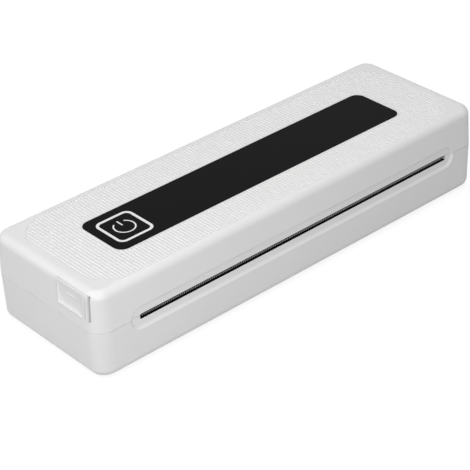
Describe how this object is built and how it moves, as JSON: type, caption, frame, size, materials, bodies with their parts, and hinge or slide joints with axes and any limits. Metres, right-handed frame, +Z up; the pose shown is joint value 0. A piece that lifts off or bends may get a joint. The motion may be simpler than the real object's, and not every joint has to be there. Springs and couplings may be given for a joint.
{
  "type": "portable thermal printer",
  "caption": "Portable thermal printer with a ribbed white case, hinged cover, front paper slot with tear bar, release slider and power key.",
  "frame": {"origin": "centre of the overall box, at the bottom of the rubber feet", "axes": "+X along the length towards the end away from the release slider, +Y to the rear hinge, +Z up; the paper slot faces -Y"},
  "size_m": [0.268, 0.088, 0.0506],
  "materials": {
    "case_white": "fine satin moulding",
    "panel_black": "polished",
    "key_white": "polished",
    "liner_white": "satin moulding",
    "tray_grey": "satin moulding",
    "gear_natural": "moulded acetal",
    "rubber_black": "matt",
    "rubber_grey": "ground",
    "steel_plain": "plain",
    "steel_dark": "blackened strip",
    "steel_frame": "zinc-plated sheet",
    "bronze": "sintered",
    "sink_aluminium": "extruded",
    "ceramic_brown": "glazed strip",
    "cover_black": "matt",
    "board_green": "solder mask",
    "battery_wrap": "shrink wrap",
    "lead_red": "insulation",
    "ribbon_film": "polyimide film"
  },
  "bodies": {
    "base": {"base_housing": "case_white", "rubber_feet": "rubber_black", "bin_tray": "tray_grey", "tray_screws": "steel_plain", "paper_sensor": "cover_black", "print_frame": "steel_frame", "frame_screws": "steel_plain", "striker_pins": "steel_plain", "head_pivot_pins": "steel_plain", "gear_studs": "steel_plain", "drive_motor": "steel_frame", "motor_screws": "steel_plain", "head_springs": "steel_plain", "battery_pack": "battery_wrap", "battery_lead": "lead_red", "main_board": "board_green", "board_chips": "cover_black", "ribbon_socket": "cover_black", "head_ribbon": "ribbon_film", "charge_board": "board_green", "charge_socket": "steel_plain", "board_screws": "steel_plain", "hinge_pins": "steel_plain", "paper_guide": "cover_black"},
    "print_head": {"heat_sink": "sink_aluminium", "head_ceramic": "ceramic_brown", "driver_cover": "cover_black"},
    "motor_rotor": {"motor_pinion": "bronze", "motor_shaft": "steel_plain"},
    "reduction": {"reduction_gear": "gear_natural"},
    "idler": {"idler_gear": "gear_natural"},
    "cover": {"cover_shell": "case_white", "top_panel": "panel_black", "key_frame": "key_white", "key_board": "board_green", "key_board_screws": "steel_plain", "key_switch": "cover_black", "cover_liner": "liner_white", "liner_screws": "steel_plain", "tear_bar": "steel_dark", "platen_bearings": "bronze"},
    "platen": {"platen_sleeve": "rubber_grey", "platen_shaft": "steel_plain", "platen_gear": "gear_natural"},
    "latch": {"release_slider": "case_white", "latch_bar": "steel_frame", "latch_hooks": "steel_frame"},
    "key": {"power_key": "panel_black", "power_symbol": "key_white", "switch_plunger": "cover_black"}
  },
  "joints": [
    {"name": "cover_hinge", "type": "hinge", "parent": "base", "child": "cover", "pos_m": [0, 0.041, 0.0278], "axis": [-1, 0, 0], "range_deg": [0, 100]},
    {"name": "platen_spin", "type": "hinge", "parent": "cover", "child": "platen", "pos_m": [0, -0.03, 0.0335], "axis": [1, 0, 0], "continuous": true},
    {"name": "latch_slide", "type": "slide", "parent": "cover", "child": "latch", "axis": [0, -1, 0], "range_m": [0, 0.0015], "stiffness_N_per_m": 600, "springref_m": -0.002},
    {"name": "power_key_press", "type": "slide", "parent": "cover", "child": "key", "axis": [0, 0, -1], "range_m": [0, 0.0006], "stiffness_N_per_m": 2500, "springref_m": -0.0001},
    {"name": "head_tilt", "type": "hinge", "parent": "base", "child": "print_head", "pos_m": [0, -0.0205, 0.0225], "axis": [1, 0, 0], "range_deg": [0, 2.5], "stiffness_Nm_per_rad": 1.5, "springref_deg": -11.46, "deforming": ["head_springs"]},
    {"name": "idler_spin", "type": "hinge", "parent": "base", "child": "idler", "pos_m": [0, -0.02538, 0.02081], "axis": [1, 0, 0], "continuous": true},
    {"name": "reduction_spin", "type": "hinge", "parent": "base", "child": "reduction", "pos_m": [0, -0.01983, 0.0112], "axis": [1, 0, 0], "continuous": true},
    {"name": "motor_spin", "type": "hinge", "parent": "base", "child": "motor_rotor", "pos_m": [0, -0.00914, 0.0127], "axis": [1, 0, 0], "continuous": true}
  ],
  "couplings": [
    {"joint": "idler_spin", "follows": "platen_spin", "ratio": -0.8},
    {"joint": "reduction_spin", "follows": "platen_spin", "ratio": 1.6667},
    {"joint": "motor_spin", "follows": "platen_spin", "ratio": -3.3333}
  ]
}
